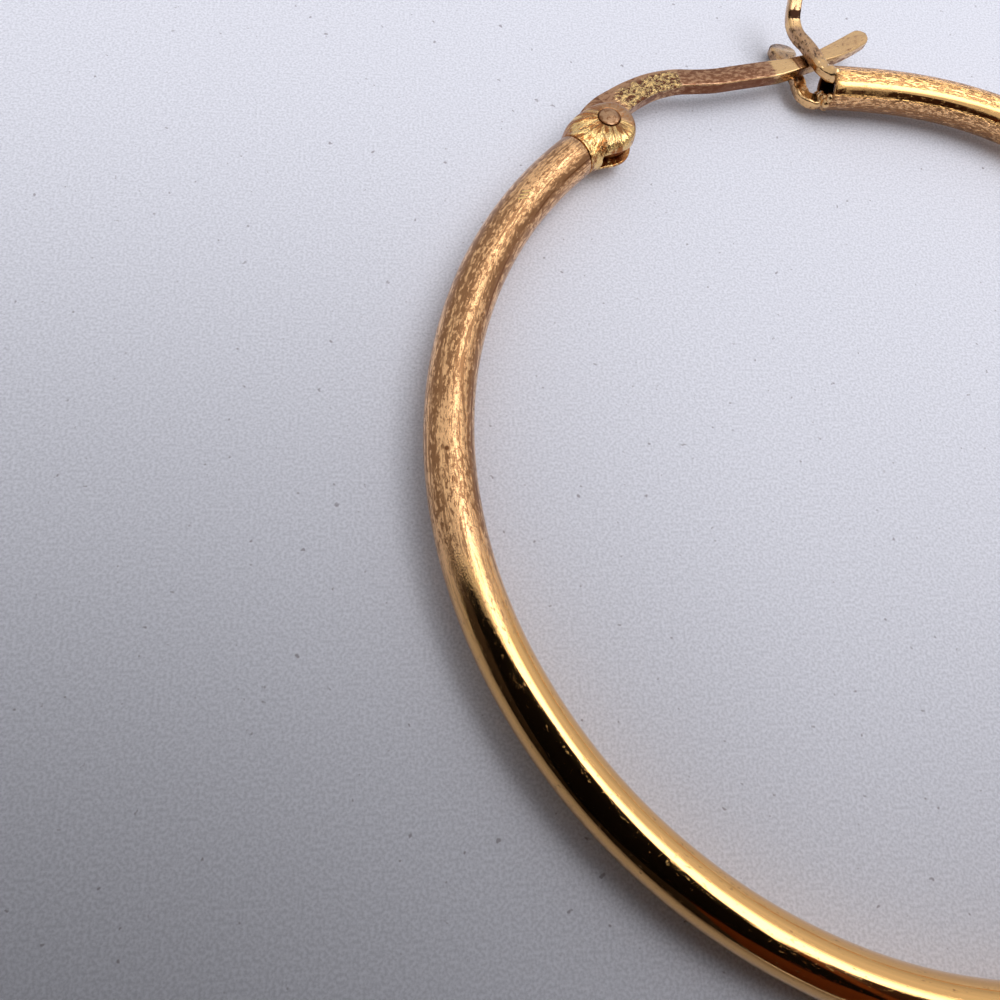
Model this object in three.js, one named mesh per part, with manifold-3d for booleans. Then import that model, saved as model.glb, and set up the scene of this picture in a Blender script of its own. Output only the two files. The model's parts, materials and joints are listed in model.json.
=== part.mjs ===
// A hinged hoop earring lying on its side: millimetres, +Z up, its closure towards +Y.
// The hoop is a hollow tube. A flat ear wire is riveted into a fork at one tube end and
// drops between the two arms of a catch that is soldered into the other end.

import * as THREE from 'three';
import { mergeVertices } from 'three/addons/utils/BufferGeometryUtils.js';
import Module from 'manifold-3d';

const wasm = await Module();
wasm.setup();

// Hoop tube
const HOOP_RADIUS = 20.5;
const TUBE_DIAMETER = 2.0;
const TUBE_WALL = 0.25;
const HINGE_END_DEG = 134.4;
const CATCH_END_DEG = 92.4;
const CATCH_SET = 0.38;
const CATCH_SET_SPAN_DEG = 26;

// Hinge
const SEAM_GAP = 0.05;
const RIVET_REACH = 2.15;
const RIVET_DIAMETER = 0.6;
const RIVET_HEAD_DIAMETER = 1.0;
const RIVET_HEAD_SINK = 0.1;
const RIVET_HEAD_RISE = 0.07;
const HEAD_DIAMETER = 2.75;
const HEAD_SETBACK = 0.2;
const HEAD_INSET = 0.16;
const HEAD_ROUNDING = 0.16;
const KNUCKLE_ABOVE = 1.0;
const KNUCKLE_BELOW = 0.78;
const PLUG_LENGTH = 1.1;
const PLUG_CLEARANCE = 0.06;
const RIVET_CLEARANCE = 0.03;
const EYE_CLEARANCE = 0.06;
const SLOT_CLEARANCE = 0.05;
const EYE_DIAMETER = 2.3;
const EYE_END_GAP = 0.3;

// Ear wire
const WIRE_THICKNESS = 0.62;
const WIRE_WIDTH = 1.06;
const WIRE_EDGE = 0.09;
const WIRE_OVER_TUBE = 0.09;
const PADDLE_LENGTH = 4.3;
const PADDLE_WIDTH = 1.0;
const PADDLE_THICKNESS = 0.5;

// Catch
const ARM_WIDTH = 0.7;
const ARM_THICKNESS = 0.5;
const ARM_EDGE = 0.12;
const ARM_REACH = 5.0;
const ARM_LEAN = 1.35;
const ARM_FLARE = 0.62;
const ARM_TIP_WIDTH = 1.42;
const CATCH_CLEARANCE = 0.05;
const SOLDER_LUMP = 0.4;

// Facets
const TUBE_SIDES = 18;
const TUBE_STEP_DEG = 4.6;
const KNUCKLE_SIDES = 24;
const ROUND_SIDES = 24;
const STEPS_PER_ROW = 3;
const CORNER_POINTS = 3;
const END_RINGS = 5;
const LUMP_SIDES = 14;

const TUBE_RADIUS = TUBE_DIAMETER / 2;
const BORE_RADIUS = TUBE_RADIUS - TUBE_WALL;
const UP = new THREE.Vector3(0, 0, 1);
const { degToRad, smoothstep } = THREE.MathUtils;

// Closed mesh through a list of rings that all have the same number of points.
// A ring loop closes on its first ring, as a hollow tube's wall does; otherwise the ends are fanned.
function loft(rings, isLoop = false) {
  const sides = rings[0].length;
  const positions = rings.flat().flatMap((p) => [p.x, p.y, p.z]);
  const faces = [];
  const bands = isLoop ? rings.length : rings.length - 1;
  for (let band = 0; band < bands; band += 1) {
    const near = band * sides;
    const far = ((band + 1) % rings.length) * sides;
    for (let side = 0; side < sides; side += 1) {
      const next = (side + 1) % sides;
      faces.push(near + side, near + next, far + next, near + side, far + next, far + side);
    }
  }
  if (!isLoop) {
    addFan(positions, faces, rings[0], 0, true);
    addFan(positions, faces, rings[rings.length - 1], (rings.length - 1) * sides, false);
  }
  const geometry = new THREE.BufferGeometry();
  geometry.setAttribute('position', new THREE.Float32BufferAttribute(positions, 3));
  geometry.setIndex(faces);
  return geometry;
}

function addFan(positions, faces, ring, start, isFirst) {
  const middle = new THREE.Vector3();
  ring.forEach((p) => middle.addScaledVector(p, 1 / ring.length));
  const hub = positions.length / 3;
  positions.push(middle.x, middle.y, middle.z);
  for (let side = 0; side < ring.length; side += 1) {
    const here = start + side;
    const next = start + ((side + 1) % ring.length);
    faces.push(hub, isFirst ? next : here, isFirst ? here : next);
  }
}

function toSolid(geometry) {
  const bare = geometry.clone();
  Object.keys(bare.attributes).forEach((name) => {
    if (name !== 'position') bare.deleteAttribute(name);
  });
  const merged = mergeVertices(bare, 1e-5);
  return new wasm.Manifold(new wasm.Mesh({
    numProp: 3,
    vertProperties: new Float32Array(merged.attributes.position.array),
    triVerts: new Uint32Array(merged.index.array),
  }));
}

function fromSolid(solid) {
  const mesh = solid.getMesh();
  const geometry = new THREE.BufferGeometry();
  geometry.setAttribute('position', new THREE.BufferAttribute(new Float32Array(mesh.vertProperties), 3));
  geometry.setIndex(Array.from(mesh.triVerts));
  return geometry;
}

// Cylinder, cone or dome about a vertical axis, from (radius, height) pairs that start and end on the axis.
function turned(profile, x = 0, y = 0) {
  const points = profile.map(([radius, height]) => new THREE.Vector2(radius, height));
  const geometry = new THREE.LatheGeometry(points, ROUND_SIDES);
  geometry.rotateX(Math.PI / 2);
  geometry.translate(x, y, 0);
  return geometry;
}

function pin(radius, bottom, top, x = 0, y = 0) {
  return turned([[0, bottom], [radius, bottom], [radius, top], [0, top]], x, y);
}

// Point, outward direction and direction of increasing angle on the hoop's centre line.
// The catch end is sprung in towards the centre by CATCH_SET.
function hoopPlace(angleDeg) {
  const endDeg = 360 + CATCH_END_DEG;
  const set = CATCH_SET * smoothstep(angleDeg, endDeg - CATCH_SET_SPAN_DEG, endDeg);
  const angle = degToRad(angleDeg);
  const out = new THREE.Vector3(Math.cos(angle), Math.sin(angle), 0);
  return {
    point: out.clone().multiplyScalar(HOOP_RADIUS - set),
    out,
    along: new THREE.Vector3(-out.y, out.x, 0),
  };
}

function tubeRing(angleDeg, radius) {
  const { point, out } = hoopPlace(angleDeg);
  return Array.from({ length: TUBE_SIDES }, (_, side) => {
    const turn = (side / TUBE_SIDES) * 2 * Math.PI;
    return point.clone()
      .addScaledVector(out, radius * Math.cos(turn))
      .addScaledVector(UP, radius * Math.sin(turn));
  });
}

function makeTube() {
  const sweep = 360 + CATCH_END_DEG - HINGE_END_DEG;
  const steps = Math.round(sweep / TUBE_STEP_DEG);
  const angles = Array.from({ length: steps + 1 }, (_, step) => HINGE_END_DEG + (sweep * step) / steps);
  const outside = angles.map((angle) => tubeRing(angle, TUBE_RADIUS));
  const inside = angles.map((angle) => tubeRing(angle, BORE_RADIUS)).reverse();
  return loft([...outside, ...inside].reverse(), true);
}

// Rectangle with rounded corners, across and up from a centre.
function barRing(centre, across, up, width, thickness, edge) {
  const corners = [[1, 1, 0], [-1, 1, 90], [-1, -1, 180], [1, -1, 270]];
  return corners.flatMap(([side, level, startDeg]) => Array.from({ length: CORNER_POINTS }, (_, step) => {
    const turn = degToRad(startDeg + (90 * step) / (CORNER_POINTS - 1));
    return centre.clone()
      .addScaledVector(across, side * (width / 2 - edge) + edge * Math.cos(turn))
      .addScaledVector(up, level * (thickness / 2 - edge) + edge * Math.sin(turn));
  }));
}

// Flat bar swept through rows of { centre, width, thickness }, its far end rounded in plan.
function flatBar(rows, edge) {
  const path = new THREE.CatmullRomCurve3(rows.map((row) => row.centre));
  const sizes = new THREE.CatmullRomCurve3(
    rows.map((row, index) => new THREE.Vector3(row.width, row.thickness, index)),
  );
  const steps = (rows.length - 1) * STEPS_PER_ROW;
  const rings = [];
  let end = null;
  for (let step = 0; step <= steps; step += 1) {
    const centre = path.getPoint(step / steps);
    const along = path.getTangent(step / steps);
    const across = new THREE.Vector3().crossVectors(UP, along).normalize();
    const up = new THREE.Vector3().crossVectors(along, across).normalize();
    const size = sizes.getPoint(step / steps);
    end = { centre, along, across, up, width: size.x, thickness: size.y };
    rings.push(barRing(centre, across, up, size.x, size.y, edge));
  }
  return loft([...rings, ...roundEnd(end, edge)]);
}

function roundEnd({ centre, along, across, up, width, thickness }, edge) {
  const lastTurn = 84;
  return Array.from({ length: END_RINGS }, (_, ring) => {
    const turn = degToRad((lastTurn * (ring + 1)) / END_RINGS);
    const middle = centre.clone().addScaledVector(along, (width / 2) * Math.sin(turn));
    const narrow = Math.max(width * Math.cos(turn), 2 * edge);
    return barRing(middle, across, up, narrow, thickness, edge);
  });
}

// Places on the closure: the rivet on the tube's tangent, the tube's mouth, and the crossing
// where the ear wire lies between the catch's arms, just outside the tube's crest.
const hingeEnd = hoopPlace(HINGE_END_DEG);
const catchEnd = hoopPlace(360 + CATCH_END_DEG);
const hingeAlong = hingeEnd.along.clone().negate();
const rivetPlace = hingeEnd.point.clone().addScaledVector(hingeAlong, RIVET_REACH);
const wireLift = TUBE_RADIUS + WIRE_OVER_TUBE + WIRE_WIDTH / 2;
const crossing = catchEnd.point.clone()
  .addScaledVector(catchEnd.out, wireLift)
  .addScaledVector(catchEnd.along, ARM_LEAN / 2);
const armLevel = (WIRE_THICKNESS + ARM_THICKNESS) / 2 + CATCH_CLEARANCE;

// Arm routes. out: share of ARM_REACH. lean: share of ARM_LEAN, away from the tube's mouth.
// flare: share of ARM_FLARE, away from the hoop's plane. broad: share of the way from
// ARM_WIDTH to ARM_TIP_WIDTH.
const UPPER_ARM = [
  { out: 0.01, lean: -0.2, flare: 0, broad: 0 },
  { out: 0.1, lean: 0.24, flare: 0, broad: 0 },
  { out: 0.2, lean: 0.38, flare: 0, broad: 0 },
  { out: 0.306, lean: 0.51, flare: 0, broad: 0 },
  { out: 0.425, lean: 0.66, flare: 0, broad: 0 },
  { out: 0.543, lean: 0.88, flare: 0, broad: 0 },
  { out: 0.655, lean: 0.97, flare: 0.05, broad: 0 },
  { out: 0.766, lean: 0.98, flare: 0.24, broad: 0 },
  { out: 0.875, lean: 0.91, flare: 0.58, broad: 0 },
  { out: 0.94, lean: 0.87, flare: 0.9, broad: 0 },
  { out: 0.99, lean: 0.84, flare: 1.15, broad: 0.3 },
];
const LOWER_ARM = [
  { out: -0.03, lean: -0.2, flare: 0, broad: 0 },
  { out: -0.052, lean: 0.25, flare: 0, broad: 0 },
  { out: -0.04, lean: 0.54, flare: 0, broad: 0 },
  { out: 0.02, lean: 0.73, flare: 0, broad: 0 },
  { out: 0.128, lean: 0.78, flare: 0, broad: 0 },
  { out: 0.233, lean: 0.78, flare: 0, broad: 0 },
  { out: 0.371, lean: 0.93, flare: 0, broad: 0 },
  { out: 0.52, lean: 1.0, flare: 0.12, broad: 0.45 },
  { out: 0.61, lean: 0.97, flare: 0.28, broad: 0.95 },
  { out: 0.675, lean: 0.93, flare: 0.46, broad: 1.0 },
];

function armPlace({ out, lean, flare }, side) {
  return catchEnd.point.clone()
    .addScaledVector(catchEnd.out, out * ARM_REACH)
    .addScaledVector(catchEnd.along, lean * ARM_LEAN)
    .addScaledVector(UP, side * (armLevel + flare * ARM_FLARE));
}

function makeArm(table, side) {
  const rows = table.map((row) => ({
    centre: armPlace(row, side),
    width: ARM_WIDTH + row.broad * (ARM_TIP_WIDTH - ARM_WIDTH),
    thickness: ARM_THICKNESS,
  }));
  return flatBar(rows, ARM_EDGE);
}

// Solder on the mouth's rim. out, lean and level: shares of the tube's radius, from the middle of
// the mouth outwards, away from the mouth and up. size: share of SOLDER_LUMP.
const SOLDER = [
  { out: 0.3, lean: 0.1, level: 0.66, size: 0.85 },
  { out: -0.15, lean: 0.05, level: -0.62, size: 1.0 },
  { out: -0.4, lean: -0.15, level: -0.66, size: 0.75 },
];

function makeSolder({ out, lean, level, size }) {
  const place = catchEnd.point.clone()
    .addScaledVector(catchEnd.out, out * TUBE_RADIUS)
    .addScaledVector(catchEnd.along, lean * TUBE_RADIUS)
    .addScaledVector(UP, level * TUBE_RADIUS);
  const lump = new THREE.SphereGeometry(size * SOLDER_LUMP, LUMP_SIDES, LUMP_SIDES / 2);
  return lump.translate(place.x, place.y, place.z);
}

function makeHoopWithCatch() {
  const arms = [makeArm(UPPER_ARM, 1), makeArm(LOWER_ARM, -1)];
  const soldered = [...arms, ...SOLDER.map(makeSolder)];
  return fromSolid(soldered.reduce((solid, piece) => solid.add(toSolid(piece)), toSolid(makeTube())));
}

// Knuckle sections. along: share of the way from the seam to the head's centre. wide: share of
// the way from the tube's radius to the head's. shift: share of HEAD_INSET. power: 2 is round,
// more is squarer.
const KNUCKLE_NECK = [
  { along: 0, wide: 0, shift: 0, power: 2 },
  { along: 0.14, wide: 0.2, shift: -0.3, power: 2.05 },
  { along: 0.36, wide: 0.58, shift: -0.5, power: 2.5 },
  { along: 0.6, wide: 0.86, shift: 0, power: 3.4 },
  { along: 0.8, wide: 0.97, shift: 0.6, power: 4.4 },
  { along: 1, wide: 1, shift: 1, power: 5 },
];
const HEAD_TURNS_DEG = [18, 34, 48, 60, 70, 78, 84];

// Ring of a squared circle across the knuckle, reaching above and below the hoop's plane.
function knuckleRing(along, inset, halfWidth, above, below, power) {
  return Array.from({ length: KNUCKLE_SIDES }, (_, side) => {
    const turn = (side / KNUCKLE_SIDES) * 2 * Math.PI;
    const across = Math.sign(Math.cos(turn)) * Math.abs(Math.cos(turn)) ** (2 / power);
    const level = Math.sign(Math.sin(turn)) * Math.abs(Math.sin(turn)) ** (2 / power);
    return new THREE.Vector3(along, halfWidth * across - inset, (level > 0 ? above : below) * level);
  });
}

// The knuckle in its own frame: x from the tube end to the rivet, y away from the hoop's centre.
function makeKnuckleBody() {
  const headCentre = RIVET_REACH - HEAD_SETBACK;
  const headRadius = HEAD_DIAMETER / 2;
  const { power } = KNUCKLE_NECK[KNUCKLE_NECK.length - 1];
  const blend = (share, size) => TUBE_RADIUS + share * (size - TUBE_RADIUS);
  const neck = KNUCKLE_NECK.map((row) => knuckleRing(
    SEAM_GAP + row.along * (headCentre - SEAM_GAP),
    row.shift * HEAD_INSET,
    blend(row.wide, headRadius),
    blend(row.wide, KNUCKLE_ABOVE),
    blend(row.wide, KNUCKLE_BELOW),
    row.power,
  ));
  const head = HEAD_TURNS_DEG.map((turnDeg) => {
    const turn = degToRad(turnDeg);
    const fall = 1 - HEAD_ROUNDING * Math.sin(turn) ** 8;
    return knuckleRing(
      headCentre + headRadius * Math.sin(turn),
      HEAD_INSET,
      headRadius * Math.cos(turn),
      KNUCKLE_ABOVE * fall,
      KNUCKLE_BELOW * fall,
      power,
    );
  });
  return loft([...neck, ...head]);
}

// The slot that the ear wire's eye turns in, open at the head's end and at both sides.
function makeSlot() {
  const start = RIVET_REACH - EYE_DIAMETER / 2 - EYE_END_GAP;
  const size = 2 * (RIVET_REACH + HEAD_DIAMETER);
  const slot = new THREE.BoxGeometry(size, size, WIRE_THICKNESS + 2 * SLOT_CLEARANCE);
  return slot.translate(start + size / 2, 0, 0);
}

function makePlug() {
  const plug = pin(BORE_RADIUS - PLUG_CLEARANCE, -PLUG_LENGTH, 2 * SEAM_GAP);
  return plug.rotateY(Math.PI / 2);
}

function makeKnuckle() {
  const past = KNUCKLE_ABOVE + KNUCKLE_BELOW;
  const hole = pin(RIVET_DIAMETER / 2 + RIVET_CLEARANCE, -past, past, RIVET_REACH);
  const recessRadius = RIVET_HEAD_DIAMETER / 2 + RIVET_CLEARANCE;
  const upperRecess = pin(recessRadius, KNUCKLE_ABOVE - RIVET_HEAD_SINK, past, RIVET_REACH);
  const lowerRecess = pin(recessRadius, -past, RIVET_HEAD_SINK - KNUCKLE_BELOW, RIVET_REACH);
  return fromSolid(
    toSolid(makeKnuckleBody())
      .add(toSolid(makePlug()))
      .subtract(toSolid(makeSlot()))
      .subtract(toSolid(hole))
      .subtract(toSolid(upperRecess))
      .subtract(toSolid(lowerRecess)),
  );
}

// Profile of a low domed rivet head whose seat is RIVET_HEAD_SINK below a cheek's face.
function rivetHead(face) {
  const shank = RIVET_DIAMETER / 2;
  const head = RIVET_HEAD_DIAMETER / 2;
  const seat = face - RIVET_HEAD_SINK + RIVET_CLEARANCE;
  const crown = face + RIVET_HEAD_RISE;
  const rim = (seat + crown) / 2;
  return [[shank, seat], [head, seat], [head, rim], [head * 0.72, (rim + crown) / 2], [0, crown]];
}

function makeRivet() {
  const lower = rivetHead(KNUCKLE_BELOW).map(([radius, height]) => [radius, -height]).reverse();
  return turned([...lower, ...rivetHead(KNUCKLE_ABOVE)]);
}

// Ear wire route from the rivet to the crossing. along and off: shares of the straight span,
// off away from the hoop's centre. broad: share of WIRE_WIDTH.
const WIRE_ROUTE = [
  { along: -0.05, off: 0.045, broad: 1.1 },
  { along: -0.012, off: 0.062, broad: 1.4 },
  { along: 0.055, off: 0.088, broad: 1.51 },
  { along: 0.122, off: 0.107, broad: 1.42 },
  { along: 0.2, off: 0.125, broad: 1.3 },
  { along: 0.3, off: 0.134, broad: 1.18 },
  { along: 0.4, off: 0.122, broad: 1.08 },
  { along: 0.48, off: 0.0945, broad: 1.0 },
  { along: 0.56, off: 0.068, broad: 1.0 },
  { along: 0.65, off: 0.05, broad: 1.0 },
  { along: 0.74, off: 0.032, broad: 1.0 },
  { along: 0.83, off: 0.014, broad: 1.0 },
  { along: 0.9, off: 0.005, broad: 0.88 },
  { along: 0.95, off: 0.001, broad: 0.8 },
  { along: 1.0, off: 0.0, broad: 0.73 },
];
// Thumb tip past the crossing. along and off: shares of PADDLE_LENGTH. broad: share of
// PADDLE_WIDTH. thin: share of the way from the wire's thickness to the paddle's.
const PADDLE_ROUTE = [
  { along: 0.21, broad: 0.8, off: 0.0, thin: 0.1 },
  { along: 0.4, broad: 0.93, off: 0.012, thin: 0.5 },
  { along: 0.64, broad: 1.0, off: 0.042, thin: 1.0 },
  { along: 0.865, broad: 0.98, off: 0.08, thin: 1.0 },
];

function makeWireBar() {
  const span = crossing.clone().sub(rivetPlace);
  const reach = span.length();
  const along = span.normalize();
  const off = new THREE.Vector3(-along.y, along.x, 0);
  const place = (start, row, size) => start.clone()
    .addScaledVector(along, row.along * size)
    .addScaledVector(off, row.off * size);
  const stem = WIRE_ROUTE.map((row) => ({
    centre: place(rivetPlace, row, reach),
    width: row.broad * WIRE_WIDTH,
    thickness: WIRE_THICKNESS,
  }));
  const paddle = PADDLE_ROUTE.map((row) => ({
    centre: place(crossing, row, PADDLE_LENGTH),
    width: row.broad * PADDLE_WIDTH,
    thickness: WIRE_THICKNESS + row.thin * (PADDLE_THICKNESS - WIRE_THICKNESS),
  }));
  return flatBar([...stem, ...paddle], WIRE_EDGE);
}

function makeEarWire() {
  const half = WIRE_THICKNESS / 2;
  const radius = EYE_DIAMETER / 2;
  const rim = radius - WIRE_EDGE;
  const level = half - WIRE_EDGE;
  const profile = [[0, -half], [rim, -half], [radius, -level], [radius, level], [rim, half], [0, half]];
  const eye = turned(profile, rivetPlace.x, rivetPlace.y);
  const hole = pin(RIVET_DIAMETER / 2 + EYE_CLEARANCE, -half * 2, half * 2, rivetPlace.x, rivetPlace.y);
  return fromSolid(toSolid(makeWireBar()).add(toSolid(eye)).subtract(toSolid(hole)));
}

function finish(color, roughness) {
  return new THREE.MeshStandardMaterial({ color, roughness, metalness: 1 });
}

function named(name, geometry, material) {
  const mesh = new THREE.Mesh(geometry, material);
  mesh.name = name;
  return mesh;
}

const hoop = named('hoop_with_catch', makeHoopWithCatch(), finish(0xd9a04a, 0.22));
const knuckle = named('hinge_knuckle', makeKnuckle(), finish(0xdcae5c, 0.34));
const rivet = named('hinge_rivet', makeRivet(), finish(0xa98860, 0.4));
const earWire = named('ear_wire', makeEarWire(), finish(0xb98d5c, 0.38));

knuckle.position.copy(hingeEnd.point);
knuckle.rotation.z = Math.atan2(hingeAlong.y, hingeAlong.x);
rivet.position.copy(rivetPlace);

// Lying down, the earring leans on the lower arm's tip and on the tube across from it.
function restTilt() {
  const tip = armPlace(LOWER_ARM[LOWER_ARM.length - 1], -1);
  const drop = ARM_THICKNESS / 2 - tip.z - TUBE_RADIUS;
  const reach = Math.hypot(tip.x, tip.y) + HOOP_RADIUS;
  const towards = Math.atan2(tip.y, tip.x);
  const axis = new THREE.Vector3(Math.sin(towards), -Math.cos(towards), 0);
  return new THREE.Quaternion().setFromAxisAngle(axis, Math.asin(Math.max(drop, 0) / reach));
}

const jewel = new THREE.Group();
jewel.add(hoop, knuckle, rivet, earWire);
jewel.quaternion.copy(restTilt());

// The origin is the middle of the bottom of the whole earring's box.
const box = new THREE.Box3().setFromObject(jewel, true);
const middle = box.getCenter(new THREE.Vector3());
jewel.position.set(-middle.x, -middle.y, -box.min.z);

const earring = new THREE.Group();
earring.add(jewel);

export default earring;
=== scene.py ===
# %% [markdown]
# # A hinged hoop earring
# The earring is a hollow gold-coloured tube bent into a hoop. A forked knuckle is plugged into one
# end, a flat ear wire turns in the fork on a rivet, and a two-armed catch is soldered into the
# other end. The engineering model gives the sizes and the hinge. This lesson gives every piece its
# fine surface: the smooth round tube, the melted solder, the worn edges, and gold with its tarnish.

# %% Load the frame
import json
import math

import bmesh
import bpy
import numpy as np
from mathutils import Matrix, Vector, noise


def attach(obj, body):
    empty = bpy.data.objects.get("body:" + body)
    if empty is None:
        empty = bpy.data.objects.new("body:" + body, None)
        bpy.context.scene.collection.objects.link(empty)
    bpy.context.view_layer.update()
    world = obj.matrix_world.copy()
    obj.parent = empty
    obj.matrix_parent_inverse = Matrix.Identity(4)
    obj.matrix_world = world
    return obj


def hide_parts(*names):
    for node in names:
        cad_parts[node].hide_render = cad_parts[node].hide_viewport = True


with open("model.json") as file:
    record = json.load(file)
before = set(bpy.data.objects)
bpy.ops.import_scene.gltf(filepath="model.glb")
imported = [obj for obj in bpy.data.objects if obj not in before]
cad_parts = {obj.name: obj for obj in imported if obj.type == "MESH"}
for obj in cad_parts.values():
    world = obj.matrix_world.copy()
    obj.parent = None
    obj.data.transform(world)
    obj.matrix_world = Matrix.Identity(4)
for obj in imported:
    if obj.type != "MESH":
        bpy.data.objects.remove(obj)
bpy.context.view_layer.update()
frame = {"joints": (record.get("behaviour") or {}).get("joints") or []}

# %% [markdown]
# ## One place to work in
# The hoop lies a little askew, because it leans on the catch's lower arm. Modelling in a tilted
# frame is awkward, so every piece is built flat, in millimetres, with the hoop's centre as origin.
# The hinge in the frame then says where that flat drawing belongs: its axis is the hoop's own
# upright, and its place is the rivet. Working in millimetres also helps Blender's voxel remesher,
# whose smallest voxel is a ten-thousandth of a unit: too coarse in metres, fine in millimetres.

# %% The hoop's sizes and its place in the frame
MM = 0.001
HOOP_RADIUS = 20.5
TUBE_RADIUS = 1.0
TUBE_WALL = 0.25
HINGE_END = math.radians(134.4)
CATCH_END = math.radians(452.4)
TUBE_LENGTH = HOOP_RADIUS * (CATCH_END - HINGE_END)
CATCH_SET = 0.38
CATCH_SET_SPAN = math.radians(26)
RIVET_REACH = 2.15
UP = np.array((0.0, 0.0, 1.0))


def hoop_place(angle):
    """Point, outward direction and direction of travel on the tube's centre line."""
    share = min(max((angle - CATCH_END) / CATCH_SET_SPAN + 1, 0), 1)
    radius = HOOP_RADIUS - CATCH_SET * share * share * (3 - 2 * share)
    out = np.array((math.cos(angle), math.sin(angle), 0.0))
    return radius * out, out, np.array((-out[1], out[0], 0.0))


hinge_point, _, hinge_travel = hoop_place(HINGE_END)
mouth, mouth_out, mouth_travel = hoop_place(CATCH_END)
hinge_along = -hinge_travel
rivet_flat = hinge_point + RIVET_REACH * hinge_along

hinge = frame["joints"][0]
lean = Vector((0, 0, 1)).rotation_difference(Vector(hinge["axis"])).to_matrix()
hoop_centre = Vector(hinge["pos_m"]) - lean @ Vector(rivet_flat) * MM
PLACE = Matrix.Translation(hoop_centre) @ lean.to_4x4() @ Matrix.Scale(MM, 4)
print("hoop centre in the frame, mm:", [round(v / MM, 3) for v in hoop_centre])

# %% [markdown]
# ## The camera
# The camera stands close over the hoop's left side and looks down across it towards the closure.
# Its place and the directions of its picture's edges are given in the hoop's flat drawing, and the
# same placing matrix carries them into the frame. The lens is written as a real focal length.

# %% Camera
CAMERA_EYE = Vector((-22.48, -13.29, 28.04))
PICTURE_RIGHT = Vector((0.9919, -0.0461, 0.1186))
PICTURE_DOWN = Vector((0.0, -0.932, -0.3625))
SENSOR_MM = 36.0
LENS_MM = 28.8


def new_object(name, data):
    """An object in the scene that shows the data."""
    made = bpy.data.objects.new(name, data)
    bpy.context.scene.collection.objects.link(made)
    return made


def make_camera():
    data = bpy.data.cameras.new("portrait")
    data.sensor_width = SENSOR_MM
    data.lens = LENS_MM
    data.clip_start = MM
    camera = new_object("portrait", data)
    right = PICTURE_RIGHT.normalized()
    down = (PICTURE_DOWN - PICTURE_DOWN.dot(right) * right).normalized()
    turn = Matrix((right, -down, -right.cross(down))).transposed()
    camera.matrix_world = Matrix.Translation(PLACE @ CAMERA_EYE) @ (lean @ turn).to_4x4()
    bpy.context.scene.camera = camera
    return camera


portrait = make_camera()
print("camera above the floor, mm:", round(portrait.location.z / MM, 1))

# %% [markdown]
# ## Lofts
# Most of the pieces are lofts: a section that travels along a path. A loft is a grid of points, so
# a short function can turn the grid into faces. Each point also gets a mark called skin, its place
# on the piece if the piece were pulled straight, in millimetres. The finishes read it, so that
# brushing and scratches follow the metal round the hoop instead of cutting straight through space.

# %% Lofts


def smooth_rows(rows, steps):
    """Points on a Catmull-Rom curve through the rows, steps of them between each two rows."""
    rows = np.asarray(rows, float)
    padded = np.vstack((2 * rows[0] - rows[1], rows, 2 * rows[-1] - rows[-2]))
    made = []
    for index in range(len(rows) - 1):
        a, b, c, d = padded[index:index + 4]
        for step in range(steps):
            t = step / steps
            bend = (2 * a - 5 * b + 4 * c - d) * t * t + (3 * b - a - 3 * c + d) * t ** 3
            made.append(0.5 * (2 * b + (c - a) * t + bend))
    made.append(rows[-1])
    return np.array(made)


def loft_faces(rings, sides, loop):
    """Faces of a grid of rings. A loop closes on its first ring, else a cap closes each end."""
    faces = []
    for ring in range(rings if loop else rings - 1):
        near = ring * sides
        far = (ring + 1) % rings * sides
        for side in range(sides):
            after = (side + 1) % sides
            faces.append((near + side, near + after, far + after, far + side))
    if not loop:
        last = (rings - 1) * sides
        faces.append(tuple(range(sides)))
        faces.append(tuple(range(last, last + sides)))
    return faces


def mark_skin(mesh, skin):
    mark = mesh.attributes.get("skin") or mesh.attributes.new("skin", "FLOAT_VECTOR", "POINT")
    mark.data.foreach_set("vector", np.asarray(skin, np.float32).ravel())


def make_piece(name, points, faces, skin=None):
    """A closed mesh in the flat drawing, its faces turned outwards."""
    mesh = bpy.data.meshes.new(name)
    mesh.from_pydata(np.asarray(points).reshape(-1, 3).tolist(), [], faces)
    if skin is not None:
        mark_skin(mesh, skin)
    turned = bmesh.new()
    turned.from_mesh(mesh)
    bmesh.ops.recalc_face_normals(turned, faces=turned.faces)
    turned.to_mesh(mesh)
    turned.free()
    return new_object(name, mesh)


# %% [markdown]
# ## Working on a finished mesh
# Cutting, joining, melting and rippling all start from a mesh that is already there. Blender does
# the first three with modifiers, and applying each at once keeps the order of the work plain. A
# ripple moves points along the surface's own normals by soft noise.

# %% Working on a finished mesh


def read_vectors(source, what):
    """One row of three numbers for each item of a mesh's vertices or marks."""
    values = np.empty(len(source) * 3)
    source.foreach_get(what, values)
    return values.reshape(-1, 3)


def points_of(piece):
    return read_vectors(piece.data.vertices, "co")


def normals_of(piece):
    return read_vectors(piece.data.vertices, "normal")


def apply_modifiers(piece):
    """Bakes the modifiers into the piece's mesh."""
    graph = bpy.context.evaluated_depsgraph_get()
    made = bpy.data.meshes.new_from_object(piece.evaluated_get(graph))
    piece.modifiers.clear()
    piece.data = made
    return piece


def cut_or_join(piece, tools, operation):
    """Joins closed tools to the piece, or cuts them from it, and deletes them."""
    for tool in tools:
        change = piece.modifiers.new(operation, "BOOLEAN")
        change.operation = operation
        change.solver = "EXACT"
        change.object = tool
        apply_modifiers(piece)
        bpy.data.objects.remove(tool)


def melt(piece, voxel, rounds):
    """Fuses what overlaps into one skin of small even faces and softens its edges."""
    remesh = piece.modifiers.new("voxels", "REMESH")
    remesh.mode = "VOXEL"
    remesh.voxel_size = voxel
    soften = piece.modifiers.new("soften", "SMOOTH")
    soften.factor = 0.5
    soften.iterations = rounds
    return apply_modifiers(piece)


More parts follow.
